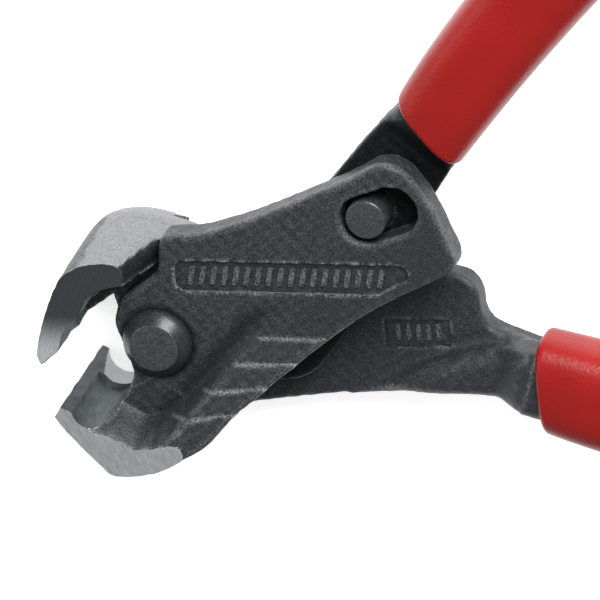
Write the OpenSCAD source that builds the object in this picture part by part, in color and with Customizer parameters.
// One-hand bolt cutter with end-cutting jaws and a slotted-lever drive.
// Millimetres. +Z is the pivot axis. The origin is on the jaw pivot, in the plane the tool lies on.
// +X runs along the closed tool, from the jaws to the handle ends. The jaws are drawn fully open.

/* [Jaws] */
// Width of both jaws along the pivot axis
jaw_w = 25; // [20:0.5:32]
// Distance from the jaw pivot to the cutting edges
edge_r = 19; // [17:0.5:23]
// Angle between the cutting edges when the tool is fully open
jaw_open = 24; // [16:0.5:25]
// Gap left between the cutting edges when the tool is shut
edge_gap = 0.15; // [0.05:0.05:0.5]

/* [Layers] */
// Height of the back face of the fixed web above the resting plane
web_z = 3.5; // [2.5:0.25:5]
// Thickness of the fixed web
web_t = 4.8; // [3.5:0.1:6]
// Thickness of the drive handle where it runs under the lever plate
lobe_t = 4.8; // [3.5:0.1:6]
// Thickness of the slotted lever plate
plate_t = 5; // [4:0.1:6]
// Gap between two layers that slide past each other
layer_gap = 0.2; // [0.1:0.05:0.4]

/* [Linkage] */
// Place of the handle pivot along X
hinge_x = 19.4; // [18:0.2:22]
// Place of the handle pivot along Y
hinge_y = 1; // [0:0.2:2]
// Distance from the handle pivot to the drive pin
drive_r = 29.6; // [24:0.2:36]
// Direction of the drive pin from the handle pivot, tool open
drive_a = 52; // [48:0.5:54]
// Radius of the drive pin
pin_r = 3.5; // [2.8:0.1:4.2]
// Clearance between the drive pin and the sides of its slot
slot_clear = 0.75; // [0.6:0.05:1.2]
// Free travel of the drive pin along its slot
slot_travel = 5.1; // [4.6:0.1:6]
// Direction of the slot, tool open
slot_a = 21; // [18:0.5:24]

/* [Rivets] */
// Radius of the jaw rivet's shank
rivet_r = 4.5; // [3.5:0.1:5.4]
// Radius of the jaw rivet's front head
rivet_head_r = 6; // [5.5:0.1:6.5]
// Height of the jaw rivet's front head
rivet_head_t = 3; // [2:0.1:4]
// Radius of the jaw rivet's back head
back_head_r = 7; // [6:0.1:8]
// Radius of the handle rivet's shank
hinge_rivet_r = 4.4; // [3.5:0.1:5]
// Radius of the handle rivet's sunk front head
hinge_head_r = 6; // [5.5:0.1:6.5]
// Thickness of the handle rivet's sunk front head
hinge_head_t = 1.5; // [1:0.1:2]
// Radial clearance of a rivet or head in a part that turns on it
run_fit = 0.05; // [0.02:0.01:0.1]
// Radial clearance of a rivet or pin in a part that it is pressed into
press_gap = 0.02; // [0.01:0.01:0.03]

/* [Handles] */
// Width of a handle's steel bar
bar_w = 12; // [10:0.5:14]
// Thickness of a handle's steel bar
bar_t = 9.5; // [8:0.5:11]
// Thickness of the dipped grip coating
grip_t = 2.2; // [1.5:0.1:2.5]
// Length of a grip along its curve
grip_len = 126; // [100:1:150]
// Steel left uncovered short of the grip's far end
bar_short = 6; // [4:0.5:10]
// Angle a handle turns inward along its grip
grip_bend = 22; // [10:1:26]
// Direction of a grip at its front end, measured outward from the closed tool's centreline
grip_splay = 15; // [15:0.5:18]

/* [Hidden] */
$fn = 64;

STEEL = "#3d4144";
BRIGHT = "#55595c";
RED = "#c0302c";

// Layers, from the resting plane up
web_top = web_z + web_t;
lobe_z = web_top + layer_gap;
lobe_top = lobe_z + lobe_t;
plate_z = lobe_top + layer_gap;
plate_top = plate_z + plate_t;
mid_z = jaw_w / 2;

// Linkage
hinge = [hinge_x, hinge_y];
pin_at = hinge + drive_r * [cos(drive_a), sin(drive_a)];
slot_r = pin_r + slot_clear;
slot_end = pin_at + slot_travel * [cos(slot_a), sin(slot_a)];

// Fixed jaw: its edge is the reference, the moving jaw's edge is jaw_open below it
edge_a = 188;
edge_gap_a = edge_gap / edge_r * 180 / PI;
fixed_edge = edge_r * [cos(edge_a), sin(edge_a)];
moving_edge_a = edge_a + jaw_open + edge_gap_a;
moving_edge = edge_r * [cos(moving_edge_a), sin(moving_edge_a)];

// The forgings are drawn for a cutting edge 19 mm out and grow with it near the jaws
jaw_k = edge_r / 19;

// Round parts of the forgings
neck_r = 8.5;
lobe_r = 9.5;
lobe_clear = 0.6;
boss_at = [0.2, 3];
boss_r = 7.5;
plate_corner_r = 4;
hump_at = [48.6, 6];
hump_r = 4.5;
// Least steel left round the drive slot
slot_wall = 2.3;

// Arm of the drive handle: half widths at its jaw side and outer side, and free length past a cut
arm_low = 6.4;
arm_high = 8.2;
arm_from = 30;
over = 1;

// Radius about the handle pivot inside which the drive handle stays thin, clear of the plate
slot_far_r = norm(slot_end - hinge) + slot_r;
shoulder_r = max(42, slot_far_r + 2 * (slot_wall + layer_gap));
// Length of the drive handle from its pivot to the front of its grip
drive_tang = shoulder_r + 4.6;
// Radius about the jaw pivot that the lever plate sweeps; the fixed handle stays low inside it
swept_r = max(norm([52.8, 17]), norm(slot_end) + slot_r + slot_wall) + 0.8;

// Fixed handle: front end of its grip
fixed_tang_at = [65, -5.7];

// Front end of the drive grip in the drive handle's own frame, X from pivot to pin
drive_tang_side = 0.8;
drive_tang_a = 3;

bar_corner = 3.6;
bend_r = grip_len / (grip_bend * PI / 180);
tiny = 0.01;

// Rounded rectangle centred on the origin
module rounded(w, h, r) {
    square([w - 2 * r, h], center = true);
    square([w, h - 2 * r], center = true);
    for (x = [-1, 1], y = [-1, 1])
        translate([x * (w / 2 - r), y * (h / 2 - r)]) circle(r);
}

// Slot outline between two points
module slot_outline(a, b, r) {
    d = b - a;
    translate(a) circle(r);
    translate(b) circle(r);
    translate(a) rotate(atan2(d[1], d[0])) translate([0, -r]) square([norm(d), 2 * r]);
}

// Bar that starts at the origin heading +X and curves toward +Y
module curved_bar(w, t, r, len) {
    translate([0, bend_r, 0]) rotate([0, 0, -90])
        rotate_extrude(angle = len / bend_r * 180 / PI)
            translate([bend_r, 0]) rounded(w, t, r);
}

// Places a shape drawn from the handle pivot, X toward the drive pin
module on_drive() {
    translate(hinge) rotate(drive_a) children();
}

module in_drive_grip() {
    on_drive() translate([drive_tang, drive_tang_side]) rotate(drive_tang_a)
        mirror([0, 1]) children();
}

module in_fixed_grip() {
    translate(fixed_tang_at) rotate(-grip_splay) children();
}

// Side view of the fixed jaw, a hook that ends in the cutting edge
module fixed_jaw_outline() {
    polygon([fixed_edge, jaw_k * [-19.3, -0.8], jaw_k * [-18.6, 3.5], jaw_k * [-17, 8],
             jaw_k * [-14.8, 12.3], jaw_k * [-12.2, 14.8], jaw_k * [-8.5, 16.3], jaw_k * [-5, 16],
             jaw_k * [-3.6, 14.6], jaw_k * [-4.2, 13], jaw_k * [-7.4, 11.9], jaw_k * [-10.2, 9.8],
             jaw_k * [-12.8, 6.4], jaw_k * [-14.9, 2.6], jaw_k * [-15.7, 0]]);
}

// Neck that joins the fixed jaw to the web, round the jaw pivot
module neck_outline() {
    difference() {
        union() {
            circle(neck_r);
            polygon([jaw_k * [-14.2, 2], [-8.4, 5.6], [-7, -4.8], [7, -4.8], [9, 3], [6, 14.5],
                     [0, 15.6], jaw_k * [-5, 16], jaw_k * [-12.2, 14.8], jaw_k * [-14.8, 12.3]]);
        }
        translate(hinge) circle(lobe_r + lobe_clear);
        // Room for the arm of the drive handle, which stands furthest left when the tool is open
        on_drive() translate([0, -lobe_r - lobe_clear]) square([drive_tang, 2 * (lobe_r + lobe_clear)]);
    }
}

// Web behind the drive handle, with the hump over the fixed handle
module web_outline() {
    circle(neck_r);
    translate(hump_at) circle(hump_r);
    polygon([[-5, 14], [0, 15.6], [14, 13.2], [30, 12.5], [44, 10.9], [48.6, 10.5], [53, 6],
             [53.3, 3.6], [54.4, 1.2], [57, 0.1], [62.2, -1.9], [66, -0.4], [63.4, -11.6],
             [57, -10.8], [50, -10.2], [40, -11], [30, -12.4], [20, -14], [10.5, -15.8],
             [7, -9], [0, -7]]);
}

// Strengthening beam along the foot of the web, from nothing to the full handle
module beam_outline() {
    polygon([[33, -11.9], [40, -11], [50, -9.8], [57, -9.9], [63.5, -11.2], [66.5, 0.1],
             [57, -1.6], [49.9, -3.2], [40, -7.6]]);
}

module fixed_jaw_frame() {
    color(STEEL) difference() {
        union() {
            linear_extrude(jaw_w) fixed_jaw_outline();
            translate([0, 0, web_z]) linear_extrude(plate_z - layer_gap / 2 - web_z) neck_outline();
            translate([0, 0, web_z]) linear_extrude(web_t) web_outline();
            translate([0, 0, web_z]) linear_extrude(plate_z - layer_gap - web_z) beam_outline();
            translate([0, 0, mid_z - bar_t / 2]) linear_extrude(bar_t) difference() {
                beam_outline();
                circle(swept_r);
            }
            translate([0, 0, mid_z]) in_fixed_grip()
                curved_bar(bar_w, bar_t, bar_corner, grip_len - bar_short);
        }
        translate([0, 0, -over]) cylinder(r = rivet_r + press_gap, h = jaw_w);
        translate([hinge_x, hinge_y, 0]) cylinder(r = hinge_rivet_r + press_gap, h = lobe_z);
    }
}

// Side view of the moving jaw
module moving_jaw_outline() {
    polygon([moving_edge, jaw_k * [-17, -12], jaw_k * [-14.6, -15.6], jaw_k * [-9.4, -21],
             jaw_k * [-7.4, -22.4], jaw_k * [-4.5, -22.4], jaw_k * [0, -21.4],
             jaw_k * [2.6, -20.2], jaw_k * [4.3, -18], jaw_k * [4, -16.6], jaw_k * [0, -17],
             jaw_k * [-3.5, -17.3], jaw_k * [-6.4, -16.3], jaw_k * [-8.6, -15.2],
             jaw_k * [-11, -14.4], jaw_k * [-12.8, -12.8], jaw_k * [-14, -11.1]]);
}

// Outline of the lever plate, with its boss at the jaw pivot
module plate_outline() {
    translate(boss_at) circle(boss_r);
    translate([41.4, 30.4]) circle(plate_corner_r);
    translate([48.6, 18.6]) circle(plate_corner_r);
    slot_outline(pin_at, slot_end, slot_r + slot_wall);
    polygon([[-5.6, 7.7], [-2.5, 9.8], [0.8, 12.6], [1.7, 19.3], [8, 19.9], [18, 23.3],
             [28.7, 28.2], [39.6, 34], [43.4, 33.9], [48.8, 27.7], [52.4, 19.8], [50.4, 15],
             [39.1, 8.6], [32.7, 4.4], [26.6, -0.4], [21.4, -4.2], [16.2, -8.4],
             jaw_k * [9.8, -13.8], jaw_k * [4.3, -18], jaw_k * [0, -21.4], jaw_k * [-6, -16.6],
             jaw_k * [-8.6, -15.2], jaw_k * [-6.6, -12], [-5, -8.8], [-4.7, -6.6], [-5.3, -3.4],
             [-6.6, 0]]);
}

// Staircase that carries the plate's thickness up to the full width of the jaw
stair_start = [17, 2];
stair_step = [-5.2, -4.8];
stair_count = 4;
stair_rise = (jaw_w - plate_top) / (stair_count + 1);

// Band of the staircase that lies on the jaw side of one step
module stair_band(i) {
    intersection() {
        polygon([[18.5, 3.5], [29.5, 2.6], [14.4, -10], jaw_k * [4.6, -17.6], jaw_k * [0, -19],
                 jaw_k * [-1, -16]]);
        translate(stair_start + i * stair_step + [-edge_r * 2, -edge_r * 3])
            square([edge_r * 4, edge_r * 3]);
    }
}

module moving_jaw_lever() {
    color(STEEL) difference() {
        union() {
            linear_extrude(jaw_w) moving_jaw_outline();
            translate([0, 0, plate_z]) linear_extrude(plate_t) plate_outline();
            for (i = [0:stair_count - 1])
                translate([0, 0, plate_z]) linear_extrude(plate_t + (i + 1) * stair_rise) stair_band(i);
        }
        translate([0, 0, plate_z - over]) cylinder(r = rivet_r + run_fit, h = plate_t + 2 * over);
        translate([0, 0, plate_z - over]) linear_extrude(plate_t + 2 * over)
            slot_outline(pin_at, slot_end, slot_r);
    }
}

module drive_handle() {
    arm_reach = shoulder_r + over;
    bar_side = bar_w / 2 * [-sin(drive_tang_a), cos(drive_tang_a)];
    color(STEEL) difference() {
        union() {
            // Thin lobe and arm, under the lever plate
            translate([0, 0, lobe_z]) linear_extrude(lobe_t) on_drive() {
                circle(lobe_r);
                polygon([[0, -lobe_r], [arm_reach, -arm_low], [arm_reach, arm_high], [arm_from, arm_high],
                         [0, lobe_r]]);
            }
            // Full thickness, outside the reach of the plate
            translate([0, 0, lobe_z]) linear_extrude(mid_z + bar_t / 2 - lobe_z) difference() {
                on_drive() polygon([[arm_from, -arm_low], [drive_tang, drive_tang_side] - bar_side,
                                    [drive_tang, drive_tang_side] + bar_side, [arm_from, arm_high]]);
                translate(hinge) circle(shoulder_r);
            }
            translate([0, 0, mid_z]) in_drive_grip()
                curved_bar(bar_w, bar_t, bar_corner, grip_len - bar_short);
        }
        translate([hinge_x, hinge_y, 0]) {
            translate([0, 0, lobe_z - over]) cylinder(r = hinge_rivet_r + run_fit, h = lobe_t + 2 * over);
            translate([0, 0, lobe_top - hinge_head_t - run_fit])
                cylinder(r = hinge_head_r + run_fit, h = lobe_t);
        }
        translate([pin_at[0], pin_at[1], lobe_z - over])
            cylinder(r = pin_r + press_gap, h = lobe_t + 2 * over);
    }
}

module jaw_rivet() {
    head_chamfer = 2.6;
    color(BRIGHT) {
        cylinder(r = back_head_r, h = web_z - tiny);
        cylinder(r = rivet_r, h = plate_top + tiny);
        translate([0, 0, plate_top + layer_gap / 2])
            cylinder(r1 = rivet_head_r, r2 = rivet_head_r - head_chamfer, h = rivet_head_t);
        cylinder(r = rivet_r, h = plate_top + layer_gap);
    }
}

module handle_rivet() {
    back_t = 2.2;
    color(BRIGHT) translate([hinge_x, hinge_y, 0]) {
        translate([0, 0, web_z - back_t]) cylinder(r = hinge_head_r, h = back_t - tiny);
        translate([0, 0, web_z - back_t]) cylinder(r = hinge_rivet_r, h = lobe_top - web_z + back_t);
        translate([0, 0, lobe_top - hinge_head_t]) cylinder(r = hinge_head_r, h = hinge_head_t);
    }
}

module drive_pin() {
    face_chamfer = 0.4;
    color(BRIGHT) translate([pin_at[0], pin_at[1], lobe_z]) {
        cylinder(r = pin_r, h = plate_top - lobe_z - face_chamfer);
        translate([0, 0, plate_top - lobe_z - face_chamfer])
            cylinder(r1 = pin_r, r2 = pin_r - face_chamfer, h = face_chamfer);
    }
}

// Dipped coating over a handle's bar, closed at the far end
module grip() {
    difference() {
        curved_bar(bar_w + 2 * grip_t, bar_t + 2 * grip_t, bar_corner + grip_t, grip_len);
        curved_bar(bar_w + 2 * press_gap, bar_t + 2 * press_gap, bar_corner + press_gap,
                   grip_len - bar_short + press_gap);
    }
}

module fixed_handle_grip() {
    color(RED) translate([0, 0, mid_z]) in_fixed_grip() grip();
}

module drive_handle_grip() {
    color(RED) translate([0, 0, mid_z]) in_drive_grip() grip();
}

fixed_jaw_frame();
moving_jaw_lever();
drive_handle();
jaw_rivet();
handle_rivet();
drive_pin();
fixed_handle_grip();
drive_handle_grip();
